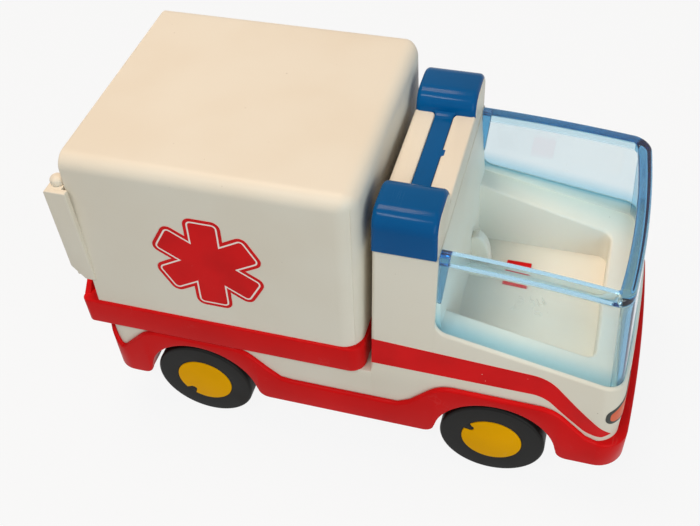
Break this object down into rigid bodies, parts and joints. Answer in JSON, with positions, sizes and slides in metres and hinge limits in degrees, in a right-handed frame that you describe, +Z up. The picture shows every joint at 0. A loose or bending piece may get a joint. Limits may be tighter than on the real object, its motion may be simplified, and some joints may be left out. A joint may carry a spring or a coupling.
{
  "type": "toy ambulance",
  "caption": "Rounded plastic toy ambulance with an open cab behind a clear blue windscreen, a blue light bar, and a white box with hinged rear doors on a red tray and rolling wheels.",
  "frame": {"origin": "on the floor under the middle of the bounding box", "axes": "+X towards the front of the vehicle, +Y to the vehicle's left, +Z up"},
  "size_m": [0.2216, 0.1106, 0.135],
  "materials": {
    "red_plastic": "satin moulded plastic",
    "white_plastic": "slightly yellowed satin plastic",
    "clear_blue": "clear tinted plastic",
    "blue_plastic": "glossy moulded plastic",
    "yellow_plastic": "satin moulded plastic",
    "tyre": "matt soft plastic",
    "steel": "drawn wire",
    "label_red": "printed film",
    "label_orange": "printed film"
  },
  "bodies": {
    "vehicle": {"chassis": "red_plastic", "cab_body": "white_plastic", "windscreen": "clear_blue", "light_bar": "blue_plastic", "tray": "red_plastic", "box_shell": "white_plastic", "hinge_pin_right": "white_plastic", "hinge_pin_left": "white_plastic", "medical_star_right": "label_red", "medical_star_left": "label_red", "cab_stripe_right": "label_red", "cab_stripe_left": "label_red", "indicator_right": "label_orange", "indicator_left": "label_orange"},
    "front_wheels": {"front_axle": "steel", "hub_front_right": "yellow_plastic", "hub_front_left": "yellow_plastic", "tyre_front_right": "tyre", "tyre_front_left": "tyre"},
    "rear_wheels": {"rear_axle": "steel", "hub_rear_right": "yellow_plastic", "hub_rear_left": "yellow_plastic", "tyre_rear_right": "tyre", "tyre_rear_left": "tyre"},
    "right_door": {"rear_door_right": "white_plastic"},
    "left_door": {"rear_door_left": "white_plastic"}
  },
  "joints": [
    {"name": "front_wheels_roll", "type": "hinge", "parent": "vehicle", "child": "front_wheels", "pos_m": [0.0585, 0, 0.021], "axis": [0, 1, 0], "continuous": true},
    {"name": "rear_wheels_roll", "type": "hinge", "parent": "vehicle", "child": "rear_wheels", "pos_m": [-0.0645, 0, 0.021], "axis": [0, 1, 0], "continuous": true},
    {"name": "right_door_swing", "type": "hinge", "parent": "vehicle", "child": "right_door", "pos_m": [-0.107, -0.0482, 0.0985], "axis": [0, 0, 1], "range_deg": [0, 110]},
    {"name": "left_door_swing", "type": "hinge", "parent": "vehicle", "child": "left_door", "pos_m": [-0.107, 0.0482, 0.0985], "axis": [0, 0, -1], "range_deg": [0, 110]}
  ]
}
